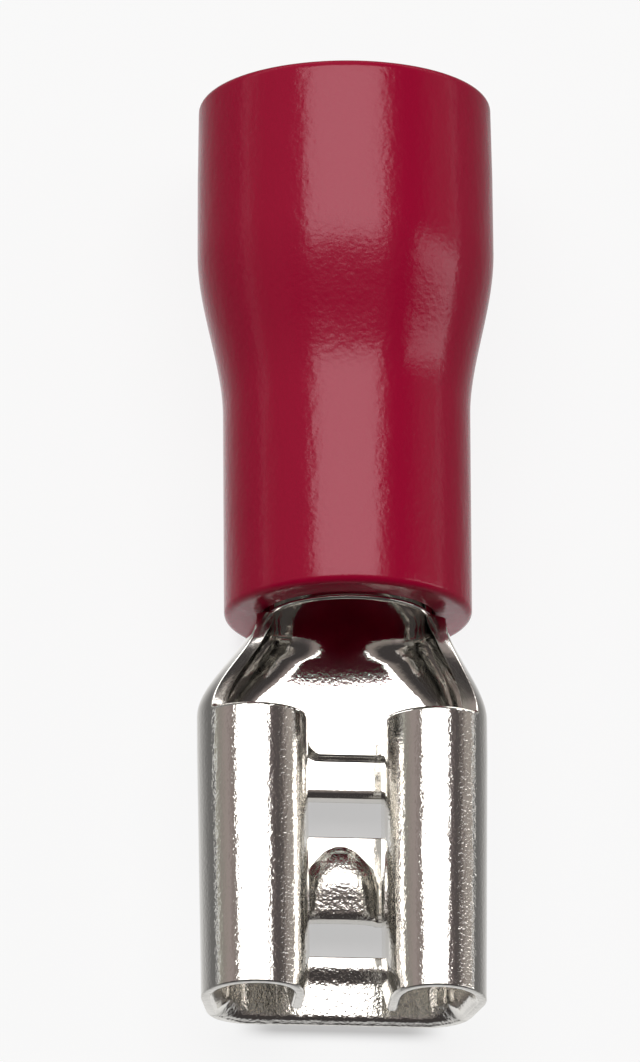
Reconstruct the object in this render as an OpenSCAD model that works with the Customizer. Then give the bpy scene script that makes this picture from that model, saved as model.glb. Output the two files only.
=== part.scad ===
// Insulated female spade terminal for a 4.8 mm wide tab and 0.5 to 1.5 mm2 wire.
// The wire barrel's axis is the Y axis. The tab goes in at the -Y end, the wire at the +Y end,
// and the two rolls stand up towards +Z. The origin is on the axis, where the barrel's plain bore
// ends at its bevelled wire end. Lengths along the part are counted from the tab end, and
// from_tab_end() puts them in place.

/* [Sheet brass] */
// Thickness of the brass sheet that the terminal is pressed from
sheet_t = 0.4; // [0.38:0.01:0.42]

/* [Receptacle] */
// Width over the two rolls
socket_w = 5.94; // [5.84:0.05:6.14]
// Height over the two rolls
socket_h = 2.8; // [2.7:0.05:2.95]
// Length of the rolls
socket_len = 6.07; // [6.0:0.05:6.2]
// Gap between the rolls, seen from above
roll_gap = 1.56; // [1.5:0.02:1.7]
// Height between the floor and the edges of the rolls, where the tab is gripped
tab_gap = 0.7; // [0.65:0.05:0.8]
// Outer radius of the two lower corners
corner_r = 1.0; // [0.96:0.01:1.04]
// Distance of each lower corner's centre from the side of the receptacle
corner_inset = 1.16; // [1.12:0.01:1.2]
// Height of the barrel's axis over the underside of the floor
axis_height = 1.63; // [1.58:0.05:1.68]
// Set-back of the top of the rolls at the tab end
mouth_lean = 0.1; // [0.05:0.01:0.15]
// Plan width of the corner cut where each roll's edge meets the tab end
lead_w = 0.12; // [0.08:0.01:0.16]
// Plan length of that corner cut
lead_len = 0.45; // [0.35:0.05:0.55]

/* [Floor] */
// Length of the sloping lead-in at the tab end
ramp_len = 1.19; // [1.0:0.05:1.25]
// Drop of the lead-in's surface over its length
ramp_drop = 0.14; // [0.1:0.01:0.16]
// Radius that rounds the lead-in's front edge
lip_r = 0.12; // [0.08:0.01:0.14]
// Distance from the tab end to the front slot
slot_a_start = 1.38; // [1.35:0.01:1.42]
// Length of the front slot
slot_a_len = 0.75; // [0.7:0.01:0.8]
// Distance from the tab end to the rear slot
slot_b_start = 3.95; // [3.9:0.01:4.0]
// Length of the rear slot
slot_b_len = 0.84; // [0.8:0.01:0.88]
// Width of both slots, which run in under the rolls
slot_w = 3.2; // [3.0:0.05:3.4]
// Corner radius of both slots
slot_r = 0.1; // [0.05:0.01:0.15]
// Half width of the locking dimple on the strip between the slots
dimple_half_w = 0.75; // [0.7:0.01:0.8]
// Length of the dimple's rounded end
dimple_round = 1.2; // [1.1:0.05:1.3]
// Distance from the tab end to the dimple's rounded tip
dimple_tip = 3.68; // [3.6:0.02:3.72]
// Height of the dimple over the floor
dimple_h = 0.33; // [0.28:0.01:0.36]
// Distance from the tab end to the raised tab stop
stop_start = 5.6; // [5.55:0.01:5.7]
// Length of the tab stop's top, which runs on into the floor of the neck
stop_len = 1.02; // [0.95:0.01:1.1]
// Half width of the tab stop
stop_half_w = 0.9; // [0.85:0.01:0.95]
// Corner radius of the tab stop, seen from above
stop_r = 0.35; // [0.3:0.01:0.4]
// Height of the tab stop over the floor
stop_h = 0.18; // [0.15:0.01:0.2]

/* [Neck] */
// Length of the open neck between the receptacle and the barrel's rim
neck_len = 2.18; // [2.12:0.01:2.25]
// Width of the neck just in front of the rim
neck_w = 3.94; // [3.9:0.01:3.98]
// Length over which the neck draws in from that width to the rim
neck_lip = 0.14; // [0.12:0.01:0.18]
// Turn of the neck's side walls above their widest level, at the receptacle
neck_turn_socket = 40; // [36:1:44]
// Turn of the same walls just in front of the rim
neck_turn_rim = 8; // [6:1:12]
// Length over which the neck's floor rises to the top of the tab stop
neck_ramp_len = 0.54; // [0.48:0.02:0.6]

/* [Barrel] */
// Bore of the wire barrel
barrel_bore = 1.7; // [1.6:0.05:1.75]
// Outside diameter of the rim, where the neck goes in under the insulation
rim_d = 3.52; // [3.48:0.01:3.56]
// Height of the open channel's edges from the rim on, as a turn above the axis
rim_turn = 19; // [17:1:22]
// Length of the channel from the rim to the closed barrel
channel_len = 1.7; // [1.65:0.01:1.75]
// Length of the barrel with its channel
barrel_len = 4.5; // [4.3:0.1:4.6]
// Bevel at the barrel's wire end
barrel_bevel = 0.12; // [0.08:0.01:0.15]

/* [Wire grip sleeve] */
// Wall of the sleeve where it lies on the barrel
grip_t = 0.45; // [0.42:0.01:0.46]
// Wall of the sleeve where it takes the wire's insulation
grip_mouth_t = 0.35; // [0.32:0.01:0.38]
// Bore that takes the wire's insulation
entry_bore = 4.1; // [4.0:0.05:4.15]
// Distance from the barrel's wire end to the start of the shoulder
grip_step = 0.25; // [0.2:0.05:0.3]
// Length of the shoulder
grip_step_len = 2.2; // [2.0:0.1:2.3]
// Length of the wide part
grip_wide_len = 3.4; // [3.2:0.05:3.45]

/* [Insulation] */
// Outside diameter of the narrow part
skin_narrow_d = 5.1; // [5.0:0.02:5.16]
// Largest outside diameter of the wide part
skin_wide_d = 6.12; // [6.06:0.02:6.2]
// Outside diameter at the wire end
skin_end_d = 6.04; // [6.0:0.01:6.04]
// Length of the insulation, which ends level with the barrel's rim
skin_len = 11.16; // [11.1:0.02:11.2]
// Distance from the front of the insulation to the start of its shoulder
skin_step = 4.4; // [4.3:0.05:4.5]
// Length of the shoulder
skin_step_len = 3.5; // [3.4:0.05:3.6]
// Radius that rounds the outer edges of both ends
skin_edge_r = 0.16; // [0.12:0.01:0.2]
// Bevel on the inner edges of both ends
skin_bevel = 0.1; // [0.06:0.01:0.12]

/* [Fits] */
// Clearance between each sleeve and what it is pushed over, before crimping
sleeve_gap = 0.02; // [0.01:0.01:0.03]

/* [Hidden] */

round_fn = 72;
corner_fn = 48;
ease_steps = 12;
neck_steps = 9;
lip_steps = 3;
channel_steps = 10;
arc_steps = 6;
tip_steps = 6;
over = 1;
// A lofted wall is a touch thinner than the sheet, so that its ends lie inside the walls they join
loft_t = sheet_t - 0.02;
loft_tuck = 0.06;

rim_at = socket_len + neck_len;
wire_end_at = rim_at + barrel_len;
bore_end_at = wire_end_at - barrel_bevel;
floor_z = -axis_height;
floor_top = floor_z + sheet_t;
roll_r = (socket_w - roll_gap) / 4;
roll_c = [socket_w / 2 - roll_r, floor_z + socket_h - roll_r];
corner_c = [socket_w / 2 - corner_inset, floor_z + corner_r];
socket_span = roll_c - corner_c;
wall_dir = atan2(socket_span[1], socket_span[0]) - acos((corner_r - roll_r) / norm(socket_span));
stop_top = floor_top + stop_h;
barrel_r = barrel_bore / 2 + sheet_t;
rim_r = rim_d / 2;
rim_squash = (sheet_t / 2 - stop_top) / (rim_r - sheet_t / 2);
grip_in = barrel_r + sleeve_gap;
grip_out = grip_in + grip_t;
entry_r = entry_bore / 2;
entry_out = entry_r + grip_mouth_t;
barrel_from = rim_at + channel_len;
grip_wide_at = wire_end_at + grip_step + grip_step_len;
grip_end_at = grip_wide_at + grip_wide_len;
skin_bore = max(rim_r, grip_out) + sleeve_gap;
skin_wide_bore = entry_out + sleeve_gap;
skin_end_at = rim_at + skin_len;

// Eases from 0 to 1 while u goes from 0 to 1
function ease(u) = u * u * (3 - 2 * u);
function mix(a, b, u) = a + (b - a) * u;
function along(a) = [cos(a), sin(a)];

// Points of a profile that eases from radius r0 to r1 over the lengths y0 to y1
function eased(r0, r1, y0, y1) =
    [for (i = [0:ease_steps]) [mix(r0, r1, ease(i / ease_steps)), mix(y0, y1, i / ease_steps)]];

function backwards(list) = [for (i = [len(list) - 1:-1:0]) list[i]];

// Moves a length counted from the tab end to its place on the Y axis
module from_tab_end(s = 0) {
    translate([0, s - bore_end_at, 0]) children();
}

// Turns a profile of radii and lengths from the tab end about the Y axis
module turned(points) {
    from_tab_end()
        rotate([-90, 0, 0])
            rotate_extrude($fn = round_fn)
                polygon(points);
}

// Pushes an outline in X and Z along Y, from length s0 to s1
module pushed(s0, s1) {
    from_tab_end(s1)
        rotate([90, 0, 0])
            linear_extrude(height = s1 - s0)
                children();
}

// Stands an outline in plan, counted from the tab end, on height z0
module raised(z0, height) {
    from_tab_end()
        translate([0, 0, z0])
            linear_extrude(height = height)
                children();
}

// Pushes an outline in length and height across the part, over the width w
module across(w) {
    from_tab_end()
        translate([-w / 2, 0, 0])
            rotate([90, 0, 90])
                linear_extrude(height = w)
                    children();
}

// Side of the receptacle's right half that lies "inset" below the sheet's outer surface
module half_blob(inset, low, left) {
    corner = corner_r - inset;
    roll = roll_r - inset;
    translate(corner_c) circle(r = corner, $fn = corner_fn);
    translate(roll_c) circle(r = roll, $fn = corner_fn);
    polygon([
        [left, low],
        [corner_c[0], low],
        corner_c + corner * along(wall_dir),
        roll_c + roll * along(wall_dir),
        roll_c,
        [roll_c[0] - roll, roll_c[1]],
        [roll_c[0] - roll, floor_top],
        [left, floor_top]
    ]);
}

// Cross-section of the receptacle's right half, from its middle to the roll's edge
module half_section() {
    difference() {
        half_blob(0, floor_z, 0);
        half_blob(sheet_t, floor_top, corner_c[0] - corner_r);
        translate([-over, floor_top])
            square([over + roll_gap / 2 + 1.5 * sheet_t, tab_gap]);
    }
}

module both_sides() {
    children();
    mirror([1, 0, 0]) children();
}

module slot(start, length) {
    raised(floor_z - over, sheet_t + 2 * over)
        slot_plan(start, length);
}

// Plan of a slot with round corners, made of two crossing rectangles and four circles
module slot_plan(start, length) {
    translate([-slot_w / 2 + slot_r, start])
        square([slot_w - 2 * slot_r, length]);
    translate([-slot_w / 2, start + slot_r])
        square([slot_w, length - 2 * slot_r]);
    for (x = [-1, 1])
        for (y = [start + slot_r, start + length - slot_r])
            translate([x * (slot_w / 2 - slot_r), y])
                circle(r = slot_r, $fn = 24);
}

// Egg-shaped end and straight body of the dimple, turned about an axis below the floor
module dimple_body(half_w, tip, height, z0) {
    turn_r = (half_w * half_w + height * height) / (2 * height);
    depth = turn_r - height;
    centre = dimple_tip - dimple_round;
    translate([0, 0, z0 - depth])
        turned(concat(
            [[0, slot_a_start], [turn_r, slot_a_start]],
            [for (i = [0:tip_steps])
                let (a = 90 * i / tip_steps, w = half_w * cos(a))
                [sqrt(w * w + depth * depth), centre + tip * sin(a)]],
            [[0, centre + tip]]
        ));
}

// The dimple over the strip, cut off below the strip's middle and in front of its edge
module dimple() {
    intersection() {
        dimple_body(dimple_half_w, dimple_round, dimple_h, floor_top);
        raised(floor_z + sheet_t / 2, 2 * sheet_t)
            translate([-socket_w / 2, slot_a_start + slot_a_len])
                square([socket_w, dimple_tip]);
    }
}

// The hollow that the dimple leaves in the underside of the strip
module dimple_hollow() {
    intersection() {
        dimple_body(dimple_half_w - sheet_t / 2, dimple_round - sheet_t / 2, dimple_h, floor_z);
        raised(floor_z - over, over + sheet_t)
            translate([-dimple_half_w, slot_a_start + slot_a_len - over])
                square([2 * dimple_half_w, dimple_tip]);
    }
}

// Plan of the tab stop, with round corners towards the tab
module stop_plan() {
    translate([-stop_half_w + stop_r, stop_start])
        square([2 * (stop_half_w - stop_r), stop_len]);
    translate([-stop_half_w, stop_start + stop_r])
        square([2 * stop_half_w, stop_len - stop_r]);
    for (x = [-1, 1])
        translate([x * (stop_half_w - stop_r), stop_start + stop_r])
            circle(r = stop_r, $fn = corner_fn);
}

module tab_stop() {
    raised(floor_top - sheet_t / 4, stop_h + sheet_t / 4)
        stop_plan();
}

// Receptacle with both rolls, slots, dimple, tab stop and lead-in
module receptacle() {
    difference() {
        union() {
            pushed(0, socket_len)
                both_sides() half_section();
            tab_stop();
        }
        slot(slot_a_start, slot_a_len);
        slot(slot_b_start, slot_b_len);
        mouth_cuts();
        dimple_hollow();
    }
    difference() {
        dimple();
        dimple_hollow();
    }
}

// What is cut away at the tab end: the slope of the front, the lead-in and the rolls' corners
module mouth_cuts() {
    across(2 * socket_w)
        polygon([
            [-over, floor_top],
            [0, floor_top],
            [mouth_lean, floor_z + socket_h],
            [mouth_lean, floor_z + socket_h + over],
            [-over, floor_z + socket_h + over]
        ]);
    across(2 * corner_c[0])
        polygon(concat(
            [[ramp_len, floor_top], [ramp_len, floor_top + tab_gap / 4], [-over, floor_top + tab_gap / 4]],
            [[-over, floor_top - ramp_drop - lip_r]],
            [for (i = [0:3]) [0, floor_top - ramp_drop - lip_r] + lip_r * [1 - cos(30 * i), sin(30 * i)]]
        ));
    both_sides()
        raised(floor_top + tab_gap / 2, socket_h)
            polygon([
                [0, -over],
                [roll_gap / 2 + lead_w, -over],
                [roll_gap / 2 + lead_w, 0],
                [roll_gap / 2, lead_len],
                [0, lead_len]
            ]);
}

// Height of the neck's floor, u of the way along the neck
function neck_floor(u) = mix(floor_top, stop_top, ease(min(1, u * neck_len / neck_ramp_len)));

// Middle line of the neck's right half, u of the way along it, as [x, z, direction of the outer side]:
// flat floor, lower corner, leaning wall and the start of the roll
function neck_line(u) =
    let (
        low = neck_floor(u) - sheet_t / 2,
        half_w = mix(socket_w, neck_w, ease(u)) / 2 - sheet_t / 2,
        wide_z = mix(roll_c[1], neck_w / 2 - rim_r, u * u),
        r2 = mix(roll_r, neck_w / 2, ease(u)) - sheet_t / 2,
        corner_share = (corner_r - sheet_t / 2) / (roll_c[1] - floor_top + sheet_t / 2),
        r1 = (wide_z - low) * mix(corner_share, 1, ease(u)),
        wall = max(0, (wide_z - low - r1 - (r1 - r2) * sin(wall_dir)) / cos(wall_dir)),
        flat = half_w - r2 - (r1 - r2) * cos(wall_dir) + wall * sin(wall_dir),
        c1 = [flat, low + r1],
        c2 = c1 + (r1 - r2) * along(wall_dir) + wall * along(wall_dir + 90),
        last = mix(neck_turn_socket, neck_turn_rim, u * u)
    )
    concat(
        [for (i = [0:3]) [flat * i / 4, low, -90]],
        [for (i = [0:arc_steps])
            let (a = mix(-90, wall_dir, i / arc_steps))
            [c1[0] + r1 * cos(a), c1[1] + r1 * sin(a), a]],
        [for (i = [0:arc_steps / 2])
            let (a = mix(wall_dir, last, i / (arc_steps / 2)))
            [c2[0] + r2 * cos(a), c2[1] + r2 * sin(a), a]]
    );

// Middle line of the channel's right half, u of the way from the rim to the barrel: the low bottom
// and the widest part draw in until the line is round
function channel_line(u) =
    let (
        r = mix(rim_r, barrel_r, ease(u)) - sheet_t / 2,
        squash = mix(rim_squash, 1, ease(u)),
        n = len(neck_line(0)) - 1
    )
    [for (i = [0:n])
        let (a = mix(-90, rim_turn, i / n))
        [r * cos(a), r * sin(a) * (sin(a) < 0 ? squash : 1), a]];

// The neck's line at u, drawn in by the share v to the rim that it runs into
function lip_line(u, v) =
    let (line = neck_line(u), rim = channel_line(0))
    [for (i = [0:len(line) - 1]) mix(line[i], rim[i], v)];

// The same line over both halves, left edge first
function both_halves(half) =
    concat([for (i = [len(half) - 1:-1:1]) [-half[i][0], half[i][1], 180 - half[i][2]]], half);

// The points beside a line at length s, on the side that "offset" gives
function beside(line, s, offset) =
    [for (p = line) [p[0] + offset * cos(p[2]), s, p[1] + offset * sin(p[2])]];

// Section of the wall at length s: the outer side from left to right, then the inner side back again
function wall_loop(s, half) =
    let (line = both_halves(half))
    concat(beside(line, s, loft_t / 2), backwards(beside(line, s, -loft_t / 2)));

// Open channel that narrows from the receptacle to the rim and on to the closed barrel
module neck() {
    lip = neck_lip / neck_len;
    loops = concat(
        [wall_loop(socket_len - loft_tuck, neck_line(0))],
        [for (i = [0:neck_steps])
            let (u = i / neck_steps * (1 - lip))
            wall_loop(socket_len + neck_len * u, neck_line(u))],
        [for (i = [1:lip_steps])
            let (v = i / lip_steps, u = 1 - lip * (1 - v))
            wall_loop(socket_len + neck_len * u, lip_line(u, ease(v)))],
        [for (i = [1:channel_steps])
            let (u = i / channel_steps)
            wall_loop(rim_at + channel_len * u, channel_line(u))],
        [wall_loop(barrel_from + loft_tuck, channel_line(1))]
    );
    m = len(loops[0]);
    rows = len(loops);
    sides = [for (k = [0:rows - 2], i = [0:m - 1])
        let (a = k * m + i, b = k * m + (i + 1) % m)
        each [[a, b, b + m], [a, b + m, a + m]]];
    start_cap = [for (i = [0:m / 2 - 2]) each [[i + 1, i, m - 1 - i], [i + 1, m - 1 - i, m - 2 - i]]];
    last = (rows - 1) * m;
    end_cap = [for (f = start_cap) [last + f[2], last + f[1], last + f[0]]];
    from_tab_end()
        polyhedron(
            points = [for (loop = loops) each loop],
            faces = concat(sides, start_cap, end_cap),
            convexity = 6
        );
}

// Round wire barrel with a brazed seam, behind the channel
module barrel() {
    turned([
        [barrel_r, barrel_from],
        [barrel_r, wire_end_at - barrel_bevel / 2],
        [barrel_r - barrel_bevel / 2, wire_end_at],
        [barrel_bore / 2 + barrel_bevel, wire_end_at],
        [barrel_bore / 2, bore_end_at],
        [barrel_bore / 2, barrel_from]
    ]);
}

// Pressed brass terminal: receptacle, neck with its channel and barrel in one piece
module terminal() {
    color("silver") {
        receptacle();
        neck();
        barrel();
    }
}

// Stepped metal tube that is pushed over the barrel and grips the wire's insulation
module wire_grip_sleeve() {
    step_at = wire_end_at + grip_step;
    outer = eased(grip_out, entry_out, step_at, grip_wide_at);
    inner = eased(grip_in, entry_r, step_at, grip_wide_at);
    color("silver")
        turned(concat(
            [[grip_out, barrel_from]],
            outer,
            [[entry_out, grip_end_at - grip_mouth_t / 3]],
            [[entry_out - grip_mouth_t / 3, grip_end_at]],
            [[entry_r + grip_mouth_t / 3, grip_end_at]],
            [[entry_r, grip_end_at - grip_mouth_t / 3]],
            backwards(inner),
            [[grip_in, barrel_from]]
        ));
}

// Stepped plastic sleeve over the grip sleeve and the barrel
module insulation() {
    narrow = skin_narrow_d / 2;
    wide = skin_wide_d / 2;
    end_r = skin_end_d / 2;
    shoulder_end = rim_at + skin_step + skin_step_len;
    shoulder = eased(narrow, wide, rim_at + skin_step, shoulder_end);
    bore_step_at = wire_end_at + grip_step - sleeve_gap;
    inner = eased(skin_bore, skin_wide_bore, bore_step_at, grip_wide_at - sleeve_gap);
    front_edge = [for (i = [0:3])
        [narrow - skin_edge_r * (1 - sin(30 * i)), rim_at + skin_edge_r * (1 - cos(30 * i))]];
    rear_edge = [for (i = [0:3])
        [end_r - skin_edge_r * (1 - cos(30 * i)), skin_end_at - skin_edge_r * (1 - sin(30 * i))]];
    color("crimson")
        turned(concat(
            [[skin_bore + skin_bevel, rim_at]],
            front_edge,
            shoulder,
            [[mix(wide, end_r, 0.25), mix(shoulder_end, skin_end_at, 0.5)]],
            rear_edge,
            [[skin_wide_bore + skin_bevel, skin_end_at]],
            [[skin_wide_bore, skin_end_at - skin_bevel]],
            backwards(inner),
            [[skin_bore, rim_at + skin_bevel]]
        ));
}

terminal();
wire_grip_sleeve();
insulation();
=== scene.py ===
import math

import bpy
import numpy as np
from mathutils import Matrix, Vector


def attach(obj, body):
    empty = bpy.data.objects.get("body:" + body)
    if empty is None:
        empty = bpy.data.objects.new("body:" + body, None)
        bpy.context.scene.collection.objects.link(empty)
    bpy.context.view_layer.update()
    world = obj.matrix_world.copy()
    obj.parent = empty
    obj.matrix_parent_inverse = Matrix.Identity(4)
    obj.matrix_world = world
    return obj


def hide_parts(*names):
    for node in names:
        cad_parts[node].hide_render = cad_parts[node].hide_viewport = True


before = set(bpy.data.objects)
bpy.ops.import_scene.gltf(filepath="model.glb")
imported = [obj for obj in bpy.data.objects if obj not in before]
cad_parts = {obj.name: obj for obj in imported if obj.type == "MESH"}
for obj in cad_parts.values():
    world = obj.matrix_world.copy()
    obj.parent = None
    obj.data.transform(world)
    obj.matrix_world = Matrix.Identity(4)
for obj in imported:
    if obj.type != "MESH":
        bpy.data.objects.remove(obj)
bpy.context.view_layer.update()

MM = 0.001

# ---------------------------------------------------------------- sizes, in mm, from the tab end
SHEET = 0.4
SOCKET_W, SOCKET_H, SOCKET_LEN = 5.94, 2.8, 6.07
ROLL_GAP, TAB_GAP = 1.56, 0.7
CORNER_R, CORNER_INSET = 1.0, 1.16
FLOOR_Z = -1.63
NECK_LEN = 2.18
NECK_W = 3.94
NECK_LIP, NECK_BLEND = 0.14, 0.6
NECK_TURN_SOCKET, NECK_TURN_RIM, RIM_TURN = 40.0, 8.0, 19.0
NECK_T, RIM_T = 0.3, 0.12
NECK_RAMP_LEN = 0.54
BARREL_R, RIM_R, CHANNEL_LEN, BARREL_LEN, BARREL_BEVEL = 1.25, 1.76, 1.7, 4.5, 0.12
SLOTS = ((1.38, 2.13), (3.95, 4.79))
SLOT_HALF = 1.6
DIMPLE_HALF, DIMPLE_ROUND, DIMPLE_TIP, DIMPLE_H = 0.75, 1.2, 3.68, 0.33
STOP_START, STOP_HALF, STOP_R, STOP_H = 5.6, 0.9, 0.35, 0.18
RAMP_LEN, RAMP_STEP, RAMP_DROP, LIP_R = 1.19, 0.42, 0.14, 0.16
MOUTH_LEAN, LEAD_W, LEAD_LEN = 0.1, 0.12, 0.45
DIE_ROLL, DIE_ROLL_LEN = 0.06, 0.2
MOUTH_CUT, MOUTH_CUT_LEN = 0.22, 0.4

RIM_AT = SOCKET_LEN + NECK_LEN
BARREL_FROM = RIM_AT + CHANNEL_LEN
WIRE_END = RIM_AT + BARREL_LEN
ORIGIN_AT = WIRE_END - BARREL_BEVEL
HALF = SHEET / 2
ROLL_R = (SOCKET_W - ROLL_GAP) / 4
ROLL_C = (SOCKET_W / 2 - ROLL_R, FLOOR_Z + SOCKET_H - ROLL_R)
CORNER_C = (SOCKET_W / 2 - CORNER_INSET, FLOOR_Z + CORNER_R)
ROLL_EDGE_Z = FLOOR_Z + SHEET + TAB_GAP
SPAN = (ROLL_C[0] - CORNER_C[0], ROLL_C[1] - CORNER_C[1])
SPAN_LEN = math.hypot(*SPAN)
WALL_DIR = math.atan2(SPAN[1], SPAN[0]) - math.acos((CORNER_R - ROLL_R) / SPAN_LEN)
STOP_TOP = FLOOR_Z + SHEET + STOP_H
RIM_SQUASH = (RIM_T / 2 - STOP_TOP) / (RIM_R - RIM_T / 2)
STOP_SHIFT = 0.17


def ease(u):
    u = min(max(u, 0.0), 1.0)
    return u * u * (3 - 2 * u)


def mix(a, b, u):
    return a + (b - a) * u


def blend_points(a, b, share):
    return mix(a[0], b[0], share), mix(a[1], b[1], share)


# ---------------------------------------------------------------- pressed terminal
def thickness(s):
    """The sheet is drawn a little thinner along the neck."""
    return mix(SHEET, NECK_T, ease((s - SOCKET_LEN) / 1.0))


class Walk:
    """The middle line of the sheet's right half at one station: floor, bend, wall, roll and leg."""

    def __init__(self, half_w, low, r1, r2, centre_z, end_angle, leg=0.0):
        c, d = math.cos(WALL_DIR), math.sin(WALL_DIR)
        self.wall = max(0.0, (centre_z - low - r1 - (r1 - r2) * d) / c)
        self.flat = half_w - r2 - (r1 - r2) * c + self.wall * d
        self.r1, self.r2, self.low = r1, r2, low
        self.parts = [self.flat, r1 * (WALL_DIR + math.pi / 2), self.wall, r2 * (end_angle - WALL_DIR), leg]
        self.total = sum(self.parts)
        self.c1 = (self.flat, low + r1)
        self.n = (c, d)
        self.t = (-d, c)
        self.p1 = (self.c1[0] + r1 * c, self.c1[1] + r1 * d)
        self.c2 = (self.p1[0] + self.wall * self.t[0] - r2 * c, self.p1[1] + self.wall * self.t[1] - r2 * d)

    def at(self, u):
        """Point and outward direction at the developed length u."""
        flat, bend, wall, roll, leg = self.parts
        if u <= flat:
            return (u, self.low), (0.0, -1.0)
        u -= flat
        if u <= bend:
            a = -math.pi / 2 + u / self.r1
            n = (math.cos(a), math.sin(a))
            return (self.c1[0] + self.r1 * n[0], self.c1[1] + self.r1 * n[1]), n
        u -= bend
        if u <= wall:
            return (self.p1[0] + u * self.t[0], self.p1[1] + u * self.t[1]), self.n
        u -= wall
        if u <= roll + 1e-9 or leg == 0:
            a = WALL_DIR + u / self.r2
            n = (math.cos(a), math.sin(a))
            return (self.c2[0] + self.r2 * n[0], self.c2[1] + self.r2 * n[1]), n
        u -= roll
        return (self.c2[0] - self.r2, self.c2[1] - u), (-1.0, 0.0)


def neck_walk(f):
    """Section of the neck at the share f of its way from the receptacle to the rim."""
    half_t = thickness(SOCKET_LEN + f * NECK_LEN) / 2
    low = mix(FLOOR_Z + SHEET, STOP_TOP, ease(f * NECK_LEN / NECK_RAMP_LEN)) - half_t
    centre_z = mix(ROLL_C[1], NECK_W / 2 - RIM_R, f * f)
    half_w = mix(SOCKET_W, NECK_W, ease(f)) / 2 - half_t
    corner_share = (CORNER_R - HALF) / (ROLL_C[1] - FLOOR_Z - HALF)
    r1 = (centre_z - low) * mix(corner_share, 1.0, ease(f))
    r2 = mix(ROLL_R, NECK_W / 2, ease(f)) - half_t
    return Walk(half_w, low, r1, r2, centre_z, math.radians(mix(NECK_TURN_SOCKET, NECK_TURN_RIM, f * f)))


def steps(a, b, size):
    n = max(1, int(round((b - a) / size)))
    return [a + (b - a) * i / n for i in range(n)]


socket_walk = Walk(SOCKET_W / 2 - HALF, FLOOR_Z + HALF, CORNER_R - HALF, ROLL_R - HALF, ROLL_C[1], math.pi,
                   ROLL_C[1] - ROLL_EDGE_Z)
neck_edge = neck_walk(0.0).total
p = socket_walk.parts
roll_from = p[0] + p[1] + p[2]
COLS = (steps(0.0, 1.02, 0.045) + steps(1.02, SLOT_HALF, 0.1) + steps(SLOT_HALF, p[0], 0.1)
        + steps(p[0], p[0] + p[1], 0.035) + steps(p[0] + p[1], roll_from, 0.09)
        + steps(roll_from, neck_edge, 0.055) + steps(neck_edge, roll_from + p[3], 0.055)
        + steps(roll_from + p[3], socket_walk.total, 0.09) + [socket_walk.total])
N_NECK = COLS.index(neck_edge)
N_COLS = len(COLS) - 1
i_slot = COLS.index(SLOT_HALF)

ROWS = (steps(0.0, 0.2, 0.04) + steps(0.2, 0.75, 0.11) + steps(0.75, RAMP_LEN, 0.055)
        + steps(RAMP_LEN, SLOTS[0][0], 0.095) + steps(*SLOTS[0], 0.19)
        + steps(SLOTS[0][1], 2.4, 0.045) + steps(2.4, 3.3, 0.09) + steps(3.3, SLOTS[1][0], 0.05)
        + steps(*SLOTS[1], 0.21) + steps(SLOTS[1][1], 5.05, 0.045) + steps(5.05, 5.5, 0.14)
        + steps(5.5, 5.7, 0.025) + steps(5.7, 6.0, 0.05) + steps(6.0, SOCKET_LEN, 0.035))
R_REAR = len(ROWS)
ROWS += steps(SOCKET_LEN, RIM_AT - NECK_LIP, 0.06) + steps(RIM_AT - NECK_LIP, RIM_AT, 0.02)
ROWS += steps(RIM_AT, BARREL_FROM, 0.07)
R_BARREL = len(ROWS)
ROWS += steps(BARREL_FROM, WIRE_END, 0.3) + [WIRE_END]
N_ROWS = len(ROWS) - 1


def dimple(x, s):
    """Height of the locking dimple over the strip between the slots; it rises away from the tab end."""
    if not SLOTS[0][1] - 1e-6 <= s <= DIMPLE_TIP:
        return 0.0
    centre = DIMPLE_TIP - DIMPLE_ROUND
    rho = math.hypot(x / DIMPLE_HALF, max(0.0, s - centre) / DIMPLE_ROUND)
    rise = mix(0.55, 1.0, ease((s - SLOTS[0][1]) / 0.95))
    return DIMPLE_H * rise * max(0.0, 1 - rho ** 2.8) ** 0.55 if rho < 1 else 0.0


def die_roll(x, s):
    """How far the punch drew down the rear edge of each slot."""
    if x > SLOT_HALF:
        return 0.0
    ends = [slot[1] for slot in SLOTS]
    return sum(DIE_ROLL * max(0.0, 1 - (s - end) / DIE_ROLL_LEN) ** 2 for end in ends if s > end - 1e-6)


def stop(x, s):
    """Height of the tab stop's platform over the floor; the neck's floor rises to it."""
    if s < STOP_START - 0.05 or s > SOCKET_LEN + NECK_RAMP_LEN:
        return 0.0
    dx = abs(x) - (STOP_HALF - STOP_R)
    dy = (STOP_START + STOP_R) - s
    if dx > 0 and dy > 0:
        d = math.hypot(dx, dy) - STOP_R
    else:
        d = max(dx, dy) - STOP_R
    side = ease((0.03 - d) / 0.07)
    return STOP_H * side * (1 - ease((s - SOCKET_LEN) / NECK_RAMP_LEN))


def lead_in(s):
    """How far the floor's upper face lies below its level near the tab end."""
    drop = 0.0
    if s < RAMP_LEN:
        drop = 0.1 * ease((RAMP_LEN - s) / RAMP_STEP) + (RAMP_DROP - 0.1) * (RAMP_LEN - s) / RAMP_LEN
    if s < LIP_R:
        drop += LIP_R * (1 - math.sqrt(max(0.0, 1 - (1 - s / LIP_R) ** 2)))
    return drop


def taper(s):
    return 1.0 + 0.006 - 0.02 * (1 - min(s, 5.3) / 5.3) if s < SOCKET_LEN else 1.006


def lean(x, s):
    """How far the receptacle sits to one side of the sleeve, its rolls unevenly."""
    side = mix(-0.075, -0.145, ease((abs(x) - 1.0) / 1.6))
    return side * (1 - ease((s - SOCKET_LEN) / NECK_LEN))


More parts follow.
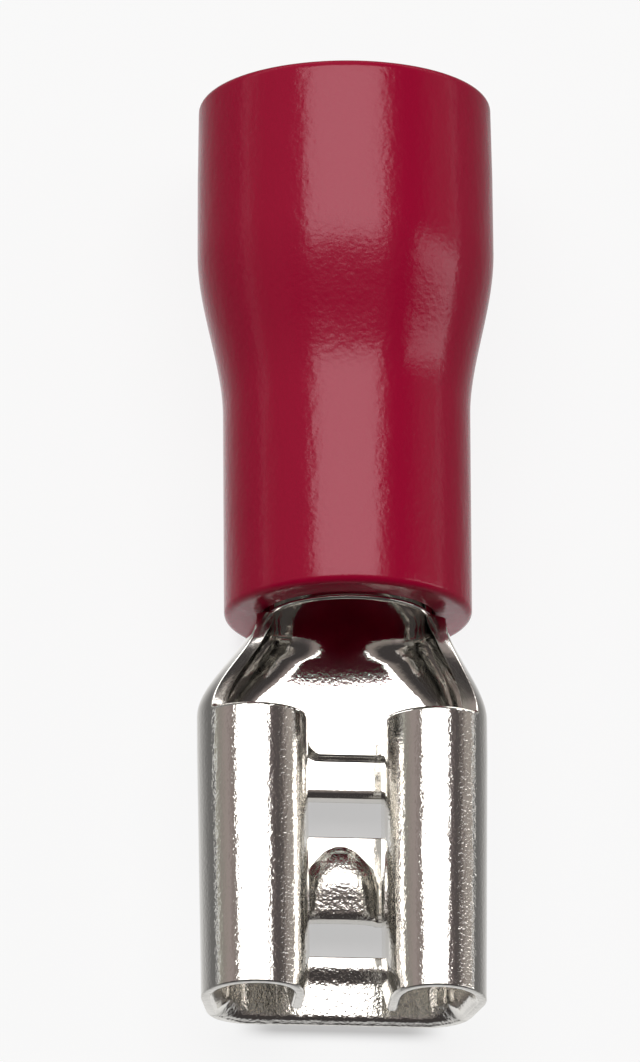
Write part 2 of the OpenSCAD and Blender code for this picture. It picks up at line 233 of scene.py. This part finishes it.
def channel_faces(a, s):
    """Inner and outer point of the channel's or the barrel's wall in the direction a."""
    u = ease((s - RIM_AT) / CHANNEL_LEN)
    half = mix(RIM_T, SHEET, u) / 2
    r = mix(RIM_R - RIM_T / 2, BARREL_R - HALF, u)
    n = (math.cos(a), math.sin(a))
    squash = mix(RIM_SQUASH, 1.0, u) if n[1] < 0 else 1.0
    return [((r + h) * n[0], r * n[1] * squash + h * n[1]) for h in (-half, half)]


def thinned(u, s):
    """How much the sheet is thinned from inside near the tab end, by the lead-in and the mouth."""
    mouth = MOUTH_CUT * max(0.0, 1 - s / MOUTH_CUT_LEN) ** 1.5
    return mix(lead_in(s), mouth, ease((u - CORNER_C[0]) / 0.6))


def section_faces(col, row):
    """Inner and outer point of the sheet's right half at a column and a row, and whether it is flat."""
    s, u = ROWS[row], COLS[col]
    if s < SOCKET_LEN - 1e-9 or (s < SOCKET_LEN + 1e-9 and col > N_NECK):
        walk, length = socket_walk, u
    elif s < RIM_AT - 1e-9:
        walk = neck_walk((s - SOCKET_LEN) / NECK_LEN)
        length = walk.total * min(1.0, u / neck_edge)
    else:
        return *channel_faces(mix(-math.pi / 2, math.radians(RIM_TURN), min(1.0, u / neck_edge)), s), False
    (x, z), n = walk.at(length)
    half = thickness(s) / 2
    inner_half = half - thinned(u, s)
    inner, outer = (x - inner_half * n[0], z - inner_half * n[1]), (x + half * n[0], z + half * n[1])
    if s > SOCKET_LEN:
        a = mix(-math.pi / 2, math.radians(RIM_TURN), u / neck_edge)
        rim_inner, rim_outer = channel_faces(a, RIM_AT)
        inner = blend_points(inner, rim_inner, ease((s - RIM_AT + NECK_BLEND) / NECK_BLEND))
        outer = blend_points(outer, rim_outer, ease((s - RIM_AT + NECK_LIP) / NECK_LIP))
    return inner, outer, n[1] < -0.999


def sheet_points(col, row, side):
    """Upper (inner) and lower (outer) point of the sheet at a column and a row, in mm."""
    s = ROWS[row]
    (xi, zi), (xo, zo), flat = section_faces(col, row)
    z = (zi + zo) / 2
    y = s
    if s < SOCKET_LEN + 1e-9 and z > FLOOR_Z + SHEET:
        y += MOUTH_LEAN * min(1.0, (z - FLOOR_Z - SHEET) / (SOCKET_H - SHEET)) * (1 - s / SOCKET_LEN)
    outer = [side * xo, y, zo]
    inner = [side * xi, y, zi]
    if s < LEAD_LEN and COLS[col] > roll_from:
        spread = LEAD_W * (1 - s / LEAD_LEN) * ease((COLS[col] - roll_from) / p[3] * 3 - 2)
        for q in (outer, inner):
            q[0] += side * spread
    if flat and s < RIM_AT:
        lift = dimple(xo, s) + stop(side * xo - STOP_SHIFT, s)
        outer[2] += lift
        inner[2] += lift - die_roll(xo, s)
    k = taper(s)
    if s > SOCKET_LEN:
        k = mix(k, 1.0, ease((s - SOCKET_LEN) / NECK_LEN))
    for q in (outer, inner):
        q[0] = q[0] * k + lean(q[0], s)
    return inner, outer


# Radius of the rounded cut edges and of the bead along the rim's arc, in mm
EDGE_R = 0.035
HOOP_R = 0.055


def build_sheet():
    """The whole pressed sheet as one grid over both faces, with rounded cut edges."""
    index = {}
    tops, lows = [], []

    def vertex(key, pts):
        if key not in index:
            index[key] = len(tops)
            tops.append(pts[0])
            lows.append(pts[1])
        return index[key]

    def grid(col, row, side):
        key = ("m", 0, row) if col == 0 else (side, col, row)
        return vertex(key, sheet_points(col, row, side))

    quads = []
    for side in (1, -1):
        for r in range(N_ROWS):
            last = N_COLS if r < R_REAR else N_NECK
            for c in range(last):
                in_slot = c < i_slot and any(a - 1e-6 <= ROWS[r] and ROWS[r + 1] <= b + 1e-6
                                             for a, b in SLOTS)
                if in_slot:
                    continue
                q = [grid(c, r, side), grid(c + 1, r, side), grid(c + 1, r + 1, side), grid(c, r + 1, side)]
                quads.append(q if side > 0 else q[::-1])

    # upper part of the closed barrel, from the right edge of the channel over the top to the left edge
    a0 = math.radians(RIM_TURN)
    ring_n = 48
    for r in range(R_BARREL, N_ROWS):
        for c in range(ring_n):
            q = []
            for cc, rr in ((c, r), (c + 1, r), (c + 1, r + 1), (c, r + 1)):
                if cc == 0:
                    q.append(grid(N_NECK, rr, 1))
                elif cc == ring_n:
                    q.append(grid(N_NECK, rr, -1))
                else:
                    s = ROWS[rr]
                    pair = channel_faces(mix(a0, math.pi - a0, cc / ring_n), s)
                    q.append(vertex(("ring", cc, rr), [[x, s, z] for x, z in pair]))
            quads.append(q)

    top = np.array(tops)
    low = np.array(lows)
    mid = (top + low) / 2

    # boundary edges and, at each of their ends, the way out of the sheet
    seen = {}
    for f, q in enumerate(quads):
        for i in range(4):
            a, b = q[i], q[(i + 1) % 4]
            seen.setdefault((min(a, b), max(a, b)), []).append((a, b, f))
    rims = [v[0] for v in seen.values() if len(v) == 1]
    outs = {}
    for a, b, f in rims:
        centre = mid[quads[f]].mean(axis=0)
        along = mid[b] - mid[a]
        along /= np.linalg.norm(along)
        out = (mid[a] + mid[b]) / 2 - centre
        out -= along * out.dot(along)
        out /= np.linalg.norm(out)
        for v in (a, b):
            outs.setdefault(v, []).append(out)
    way = {}
    for v, o in outs.items():
        total = sum(o)
        if len(o) == 2:
            total = total / max(0.5, 1 + o[0].dot(o[1]))
        up = top[v] - low[v]
        up /= np.linalg.norm(up)
        total = total - up * total.dot(up)
        way[v] = (total, up)

    verts = []
    for v in range(len(top)):
        t, l = top[v], low[v]
        if v in way:
            t, l = t - way[v][0] * EDGE_R, l - way[v][0] * EDGE_R
        verts += [t, l]
    chain = {}
    for v, (out, up) in way.items():
        ids = [2 * v]
        for sign, end in ((-1, top[v]), (1, low[v])):
            pts = [end - out * EDGE_R * (1 - math.sin(a)) + sign * up * EDGE_R * (1 - math.cos(a))
                   for a in (math.radians(30), math.radians(60), math.radians(90))]
            if sign > 0:
                pts = pts[::-1]
            for q in pts:
                ids.append(len(verts))
                verts.append(q)
        ids.append(2 * v + 1)
        chain[v] = ids

    faces, kind = [], []
    for q in quads:
        faces.append([2 * v for v in q])
        kind.append(0)
        faces.append([2 * v + 1 for v in q[::-1]])
        kind.append(0)
    for a, b, f in rims:
        ca, cb = chain[a], chain[b]
        for i in range(len(ca) - 1):
            faces.append([cb[i], ca[i], ca[i + 1], cb[i + 1]])
            kind.append(1 if 1 <= i < len(ca) - 2 else 0)
    return np.array(verts), faces, kind


def add_hoop(verts, faces, kind):
    """The thin bright edge that closes the rim's arc over the neck, as a fine wire."""
    verts = [list(v) for v in verts]
    start, n_along, n_round = len(verts), 40, 8
    for i in range(n_along + 1):
        a = math.radians(mix(RIM_TURN - 3, 183 - RIM_TURN, i / n_along))
        for j in range(n_round):
            b = 2 * math.pi * j / n_round
            r = RIM_R - HOOP_R + HOOP_R * math.cos(b)
            verts.append([r * math.cos(a), RIM_AT - HOOP_R * (1 - math.sin(b)), r * math.sin(a)])
    for i in range(n_along):
        for j in range(n_round):
            k, m = start + i * n_round + j, start + i * n_round + (j + 1) % n_round
            faces.append([k, k + n_round, m + n_round, m])
            kind.append(0)
    faces.append([start + j for j in range(n_round)])
    faces.append([start + n_along * n_round + j for j in range(n_round)][::-1])
    kind += [0, 0]
    return verts, faces, kind


def make_object(name, verts, faces, mats, kind=None):
    mesh = bpy.data.meshes.new(name)
    pts = [(x * MM, (y - ORIGIN_AT) * MM, z * MM) for x, y, z in verts]
    mesh.from_pydata(pts, [], faces)
    mesh.validate()
    for m in mats:
        mesh.materials.append(m)
    if kind is not None:
        mesh.polygons.foreach_set("material_index", kind)
    mesh.polygons.foreach_set("use_smooth", [True] * len(mesh.polygons))
    mesh.update()
    obj = bpy.data.objects.new(name, mesh)
    bpy.context.collection.objects.link(obj)
    return obj


# ---------------------------------------------------------------- materials
def new_material(name):
    m = bpy.data.materials.new(name)
    m.use_nodes = True
    nt = m.node_tree
    bsdf = next(n for n in nt.nodes if n.type == "BSDF_PRINCIPLED")
    return m, nt, bsdf


def link(tree, a, b):
    tree.links.new(a, b)


def maths(tree, operation, *values, third=None):
    node = tree.nodes.new("ShaderNodeMath")
    node.operation = operation
    if third is not None:
        node.inputs[2].default_value = third
    for socket, value in zip(node.inputs, values):
        if isinstance(value, (int, float)):
            socket.default_value = value
        else:
            tree.links.new(value, socket)
    return node.outputs[0]


def ramp_between(tree, value, low, high):
    """0 below low, 1 above high and a soft step between them."""
    node = tree.nodes.new("ShaderNodeMapRange")
    node.interpolation_type = "SMOOTHSTEP"
    node.inputs["From Min"].default_value = low
    node.inputs["From Max"].default_value = high
    link(tree, value, node.inputs["Value"])
    return node.outputs["Result"]


def noise(nt, scale, detail=2.0, stretch=(1, 1, 1)):
    """Noise over the object's own coordinates; scale in features per metre."""
    place = nt.nodes.new("ShaderNodeTexCoord")
    stretched = nt.nodes.new("ShaderNodeMapping")
    stretched.inputs["Scale"].default_value = stretch
    texture = nt.nodes.new("ShaderNodeTexNoise")
    texture.inputs["Scale"].default_value = scale
    texture.inputs["Detail"].default_value = detail
    nt.links.new(place.outputs["Object"], stretched.inputs["Vector"])
    nt.links.new(stretched.outputs["Vector"], texture.inputs["Vector"])
    return texture.outputs["Fac"]


def bump(nt, height, distance, below=None):
    node = nt.nodes.new("ShaderNodeBump")
    node.inputs["Strength"].default_value = 1.0
    node.inputs["Distance"].default_value = distance
    nt.links.new(height, node.inputs["Height"])
    if below is not None:
        nt.links.new(below, node.inputs["Normal"])
    return node.outputs["Normal"]


def between(nt, value, low, high, soft=0.08):
    """1 where value lies between low and high, in mm, and 0 beyond."""
    rise = ramp_between(nt, value, (low - soft) * MM, (low + soft) * MM)
    fall = ramp_between(nt, value, (high + soft) * MM, (high - soft) * MM)
    return maths(nt, "MULTIPLY", rise, fall)


def crinkle_share(nt):
    """How crinkled the plate is: more on the rolls, most where it was struck, and least on the floor."""
    place = nt.nodes.new("ShaderNodeTexCoord")
    split = nt.nodes.new("ShaderNodeSeparateXYZ")
    link(nt, place.outputs["Object"], split.inputs[0])
    x, y, z = split.outputs
    across = maths(nt, "ABSOLUTE", x)
    low = ramp_between(nt, z, -1.0 * MM, -1.15 * MM)
    lead = maths(nt, "MULTIPLY", low, between(nt, y, -20, RAMP_LEN - ORIGIN_AT))
    struck = maths(nt, "MULTIPLY", between(nt, y, SLOTS[0][1] - ORIGIN_AT, DIMPLE_TIP - ORIGIN_AT),
                   between(nt, across, -1, DIMPLE_HALF))
    struck = maths(nt, "MULTIPLY", struck, between(nt, z, -1.2, -0.8, 0.02))
    rolls = maths(nt, "MULTIPLY", between(nt, y, -20, SOCKET_LEN - ORIGIN_AT),
                  ramp_between(nt, z, -1.0 * MM, -0.6 * MM))
    share = maths(nt, "MULTIPLY_ADD", rolls, 0.7, third=0.3)
    share = maths(nt, "MAXIMUM", share, maths(nt, "MULTIPLY", lead, 2.5))
    return maths(nt, "MAXIMUM", share, maths(nt, "MULTIPLY", struck, 2.0))


def tin(name, roughness, grain, colour=(0.88, 0.86, 0.82, 1)):
    """Bright tin plate with a fine crinkle and faint streaks along the part; grain in metres."""
    m, nt, b = new_material(name)
    b.inputs["Metallic"].default_value = 1.0
    b.inputs["Base Color"].default_value = colour
    b.inputs["Roughness"].default_value = roughness
    share = crinkle_share(nt)
    crinkle = bump(nt, maths(nt, "MULTIPLY", noise(nt, 14000, 2.5), share), grain)
    streaks = bump(nt, maths(nt, "MULTIPLY", noise(nt, 9000, 1.0, (1, 0.12, 1)), share), grain * 0.6, crinkle)
    nt.links.new(streaks, b.inputs["Normal"])
    return m


def pvc(name):
    m, nt, b = new_material(name)
    b.inputs["Base Color"].default_value = (0.43, 0.0008, 0.037, 1)
    b.inputs["Roughness"].default_value = 0.2
    b.inputs["IOR"].default_value = 1.5
    b.inputs["Specular Tint"].default_value = (1.0, 0.75, 0.8, 1)
    grain = bump(nt, noise(nt, 9000, 3.0), 0.000006)
    waves = bump(nt, noise(nt, 2500, 2.0, (1, 0.5, 1)), 0.000012, grain)
    nt.links.new(waves, b.inputs["Normal"])
    return m


M_TIN = tin("tin_plate", 0.08, 0.000007)
M_EDGE = tin("sheared_edge", 0.2, 0.000012)
M_GRIP = tin("tin_tube", 0.16, 0.000003)
M_PVC = pvc("red_pvc")

verts, faces, kind = add_hoop(*build_sheet())
terminal = make_object("pressed_terminal", verts, faces, [M_TIN, M_EDGE], kind)

# ---------------------------------------------------------------- turned sleeves
GRIP_T, GRIP_MOUTH_T, ENTRY_R = 0.45, 0.35, 2.05
GRIP_STEP, GRIP_STEP_LEN, GRIP_WIDE_LEN = 0.25, 2.2, 3.4
GAP = 0.02
SKIN_NARROW, SKIN_WIDE, SKIN_END = 2.55, 3.06, 3.02
SKIN_LEN, SKIN_STEP, SKIN_STEP_LEN, SKIN_EDGE, SKIN_BEVEL = 11.16, 4.4, 3.5, 0.16, 0.1
GRIP_IN = BARREL_R + GAP
GRIP_OUT = GRIP_IN + GRIP_T
STEP_AT = WIRE_END + GRIP_STEP
WIDE_AT = STEP_AT + GRIP_STEP_LEN
GRIP_END = WIDE_AT + GRIP_WIDE_LEN
ENTRY_OUT = ENTRY_R + GRIP_MOUTH_T
SKIN_BORE = max(RIM_R, GRIP_OUT) + GAP
SKIN_WIDE_BORE = ENTRY_OUT + GAP
SKIN_FROM, SKIN_TO = RIM_AT, RIM_AT + SKIN_LEN


def eased(r0, r1, y0, y1, n=40):
    return [(mix(r0, r1, ease(i / n)), mix(y0, y1, i / n)) for i in range(n + 1)]


def arc(cr, cy, r, a0, a1, n=8):
    turns = [math.radians(mix(a0, a1, i / n)) for i in range(n + 1)]
    return [(cr + r * math.cos(a), cy + r * math.sin(a)) for a in turns]


def dense(points, size):
    out = []
    for i, a in enumerate(points):
        b = points[(i + 1) % len(points)]
        n = max(1, int(math.hypot(b[0] - a[0], b[1] - a[1]) / size))
        out += [(mix(a[0], b[0], k / n), mix(a[1], b[1], k / n)) for k in range(n)]
    return out


def turned(name, profile, mats, segs=128):
    verts, faces = [], []
    n = len(profile)
    for i in range(segs):
        a = 2 * math.pi * i / segs
        for r, y in profile:
            verts.append((r * math.cos(a), y, r * math.sin(a)))
    for i in range(segs):
        j = (i + 1) % segs
        for k in range(n):
            m = (k + 1) % n
            faces.append([i * n + k, i * n + m, j * n + m, j * n + k])
    return make_object(name, verts, faces, mats)


outer = eased(SKIN_NARROW, SKIN_WIDE, SKIN_FROM + SKIN_STEP, SKIN_FROM + SKIN_STEP + SKIN_STEP_LEN)
inner = eased(SKIN_BORE, SKIN_WIDE_BORE, STEP_AT - GAP, WIDE_AT - GAP)[::-1]
skin_profile = (arc(SKIN_NARROW - SKIN_EDGE, SKIN_FROM + SKIN_EDGE, SKIN_EDGE, -90, 0) + outer
                + [(mix(SKIN_WIDE, SKIN_END, 0.25), mix(outer[-1][1], SKIN_TO, 0.5))]
                + arc(SKIN_END - SKIN_EDGE, SKIN_TO - SKIN_EDGE, SKIN_EDGE, 0, 90)
                + arc(SKIN_WIDE_BORE + SKIN_BEVEL, SKIN_TO - SKIN_BEVEL, SKIN_BEVEL, 90, 180)
                + inner + arc(SKIN_BORE + SKIN_BEVEL, SKIN_FROM + SKIN_BEVEL, SKIN_BEVEL, 180, 270))
sleeve = turned("red_sleeve", dense(skin_profile, 0.2), [M_PVC], 160)

g_out = eased(GRIP_OUT, ENTRY_OUT, STEP_AT, WIDE_AT)
g_in = eased(GRIP_IN, ENTRY_R, STEP_AT, WIDE_AT)[::-1]
r = GRIP_MOUTH_T / 3
grip_profile = (arc(GRIP_OUT - 0.05, BARREL_FROM + 0.05, 0.05, -90, 0, 3) + g_out
                + arc(ENTRY_OUT - r, GRIP_END - r, r, 0, 90, 5)
                + arc(ENTRY_R + r, GRIP_END - r, r, 90, 180, 5) + g_in
                + arc(GRIP_IN + 0.05, BARREL_FROM + 0.05, 0.05, 180, 270, 3))
grip = turned("grip_tube", dense(grip_profile, 0.3), [M_GRIP], 96)

for piece, node, slot in ((terminal, "terminal", "tinned_brass"), (grip, "wire_grip_sleeve", "tinned_copper"),
                          (sleeve, "insulation", "red_pvc")):
    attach(piece, "root")
    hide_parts(node)

# ---------------------------------------------------------------- stage
def seen_directly(tree):
    """1 for rays that come from the camera or from a mirror or glass."""
    path = tree.nodes.new("ShaderNodeLightPath")
    ray = maths(tree, "MAXIMUM", path.outputs["Is Camera Ray"], path.outputs["Is Glossy Ray"])
    return maths(tree, "MAXIMUM", ray, path.outputs["Is Transmission Ray"])


def blend(tree, share, a, b):
    node = tree.nodes.new("ShaderNodeMixRGB")
    link(tree, share, node.inputs[0])
    for value, socket in ((a, node.inputs[1]), (b, node.inputs[2])):
        if isinstance(value, tuple):
            socket.default_value = (*value, 1)
        else:
            link(tree, value, socket)
    return node.outputs[0]


REST_SLOPE = math.atan((SKIN_WIDE - SKIN_NARROW) / 7.8)
REST_AT = RIM_AT + 0.1
PART_HALF_W, PART_FROM, PART_TO = 3.0, -REST_AT, SKIN_TO - REST_AT
# Reach in mm and far strength of the floor's white in mirrors, the strip under the part where the floor's
# colour is darkened as painted shade, and
# # the share of the floor's white that the camera sees as it is
GLOW_REACH, GLOW_FAR = 2.2, 0.1
SHADE_OUT, SHADE_IN, SHADE_SOFT = 2.3, 1.3, 0.3
FLOOR_SHARE, FLOOR_PALE, FLOOR_PAINTED_SHADE = 0.88, (0.8, 0.8, 0.8), (0.3, 0.27, 0.26)
floor_mesh = bpy.data.meshes.new("floor")
floor_mesh.from_pydata([(-1, -1, 0), (1, -1, 0), (1, 1, 0), (-1, 1, 0)], [], [(0, 1, 2, 3)])
floor = bpy.data.objects.new("floor", floor_mesh)
bpy.context.collection.objects.link(floor)
floor.location = Vector((0, REST_AT - ORIGIN_AT, -SKIN_NARROW - 0.03)) * MM
floor.rotation_euler = (-REST_SLOPE, 0, 0)


def floor_material():
    """Pale floor: white to the camera, with the part's shadow deepened by painted shade in its colour under
    the part, and white to mirrors close to the part.
    """
    m, nt, lit = new_material("pale_floor")
    lit.inputs["Roughness"].default_value = 0.9
    lit.inputs["Specular IOR Level"].default_value = 0.0
    place = nt.nodes.new("ShaderNodeTexCoord")
    split = nt.nodes.new("ShaderNodeSeparateXYZ")
    link(nt, place.outputs["Object"], split.inputs[0])
    across = maths(nt, "ABSOLUTE", split.outputs[0])
    aside = maths(nt, "MAXIMUM", maths(nt, "SUBTRACT", across, PART_HALF_W * MM), 0.0)
    middle = maths(nt, "SUBTRACT", split.outputs[1], (PART_FROM + PART_TO) / 2 * MM)
    beyond = maths(nt, "SUBTRACT", maths(nt, "ABSOLUTE", middle), (PART_TO - PART_FROM) / 2 * MM)
    beyond = maths(nt, "MAXIMUM", beyond, 0.0)
    squares = maths(nt, "MULTIPLY", aside, aside), maths(nt, "MULTIPLY", beyond, beyond)
    away = maths(nt, "SQRT", maths(nt, "ADD", *squares))
    near = maths(nt, "EXPONENT", maths(nt, "MULTIPLY", away, -1 / (GLOW_REACH * MM)))
    path = nt.nodes.new("ShaderNodeLightPath")
    mirrored = maths(nt, "ADD", maths(nt, "MULTIPLY", near, 1 - GLOW_FAR), GLOW_FAR)
    strength = maths(nt, "MAXIMUM", mirrored, path.outputs["Is Camera Ray"])
    painted_shade_strip = maths(nt, "MULTIPLY", ramp_between(nt, across, SHADE_OUT * MM, SHADE_IN * MM),
                     ramp_between(nt, beyond, SHADE_SOFT * MM, -SHADE_SOFT * MM))
    in_light = maths(nt, "MULTIPLY_ADD", painted_shade_strip, -FLOOR_SHARE, third=FLOOR_SHARE)
    share = maths(nt, "MULTIPLY", seen_directly(nt), in_light)
    # painted shade: the floor's base colour turns dark grey in the strip under the part
    link(nt, blend(nt, painted_shade_strip, FLOOR_PALE, FLOOR_PAINTED_SHADE), lit.inputs["Base Color"])
    glow = nt.nodes.new("ShaderNodeEmission")
    link(nt, strength, glow.inputs["Strength"])
    mixer = nt.nodes.new("ShaderNodeMixShader")
    link(nt, share, mixer.inputs[0])
    link(nt, lit.outputs[0], mixer.inputs[1])
    link(nt, glow.outputs[0], mixer.inputs[2])
    link(nt, mixer.outputs[0], next(n for n in nt.nodes if n.type == "OUTPUT_MATERIAL").inputs["Surface"])
    return m


floor_mesh.materials.append(floor_material())

# ---------------------------------------------------------------- lights
# The dim room round the part, by the turn about the part's long axis from straight up, in degrees
ROOM = ((-100, (0.30, 0.30, 0.26)), (-90, (0.36, 0.36, 0.32)), (-82, (0.34, 0.33, 0.29)),
        (-75, (0.26, 0.24, 0.22)), (-66, (0.31, 0.27, 0.25)), (-55, (0.33, 0.28, 0.27)),
        (-46, (0.24, 0.20, 0.19)), (-38, (0.26, 0.23, 0.21)), (28, (0.25, 0.21, 0.20)),
        (36, (0.12, 0.10, 0.10)), (45, (0.08, 0.07, 0.07)), (55, (0.12, 0.105, 0.10)),
        (62, (0.20, 0.17, 0.16)), (70, (0.32, 0.29, 0.27)), (80, (0.35, 0.31, 0.28)),
        (95, (0.20, 0.18, 0.16)))
CAMERA_SIDE = (0.05, 0.045, 0.045)


def studio():
    world = bpy.data.worlds.new("studio")
    world.use_nodes = True
    wt = world.node_tree
    where = wt.nodes.new("ShaderNodeTexCoord")
    split = wt.nodes.new("ShaderNodeSeparateXYZ")
    link(wt, where.outputs["Generated"], split.inputs[0])
    x, y, z = split.outputs
    turn = maths(wt, "MULTIPLY_ADD", maths(wt, "ARCTAN2", x, z), 0.5 / math.pi, third=0.5)
    ramp = wt.nodes.new("ShaderNodeValToRGB")
    link(wt, turn, ramp.inputs[0])
    stops = ramp.color_ramp.elements
    for angle, colour in ROOM:
        stops.new(angle / 360 + 0.5).color = (*colour, 1)
    stops.remove(stops[0])
    stops.remove(stops[len(stops) - 1])
    room = blend(wt, ramp_between(wt, y, -0.02, -0.3), ramp.outputs[0], CAMERA_SIDE)
    path = wt.nodes.new("ShaderNodeLightPath")
    horizon = maths(wt, "MULTIPLY", seen_directly(wt), ramp_between(wt, z, 0.04, 0.02))
    background = maths(wt, "MAXIMUM", path.outputs["Is Camera Ray"], horizon)
    final = blend(wt, background, room, (1.0, 1.0, 1.0))
    link(wt, final, wt.nodes["Background"].inputs["Color"])
    bpy.context.scene.world = world


studio()
LIGHT_DIST = 0.35


def softbox(name, direction, size, radiance):
    """Panel of a size in metres, across and along the part, that faces the part's origin."""
    light = bpy.data.lights.new(name, "AREA")
    light.shape = "RECTANGLE"
    light.size, light.size_y = size
    light.energy = radiance * math.pi * size[0] * size[1]
    obj = bpy.data.objects.new(name, light)
    d = Vector(direction).normalized()
    along = (Vector((0, 1, 0)) - d * d.y).normalized()
    across = along.cross(d)
    obj.matrix_world = Matrix.Translation(d * LIGHT_DIST) @ Matrix((across, along, d)).transposed().to_4x4()
    bpy.context.collection.objects.link(obj)
    return obj


softbox("top_box", (-0.09, 0.326, 0.942), (0.396, 0.188), 3.3)
softbox("side_box", (0.96, 0.08, 0.26), (0.30, 0.06), 2.0)

# ---------------------------------------------------------------- camera
TILT, YAW, ROLL = math.radians(18.11), math.radians(-5.32), math.radians(-0.366)
DIST, FOCAL_PX, LONG_PX = 0.42, 48.59 * 420, 1062
AIM = Vector((-0.567, -2.4855, 0.0)) * MM
w = Vector((math.sin(YAW), -math.sin(TILT) * math.cos(YAW), math.cos(TILT) * math.cos(YAW))).normalized()
u = Vector((0, 1, 0)).cross(w).normalized()
v = w.cross(u)
u2 = u * math.cos(ROLL) + v * math.sin(ROLL)
v2 = v * math.cos(ROLL) - u * math.sin(ROLL)
cam_data = bpy.data.cameras.new("camera")
cam_data.sensor_width = 36
cam_data.lens = 36 * FOCAL_PX / LONG_PX
cam_data.clip_start, cam_data.clip_end = 0.01, 10
cam = bpy.data.objects.new("camera", cam_data)
rot = Matrix((u2, v2, w)).transposed().to_4x4()
cam.matrix_world = Matrix.Translation(AIM + w * DIST) @ rot
bpy.context.collection.objects.link(cam)
bpy.context.scene.camera = cam
bpy.context.scene.view_settings.view_transform = "Standard"
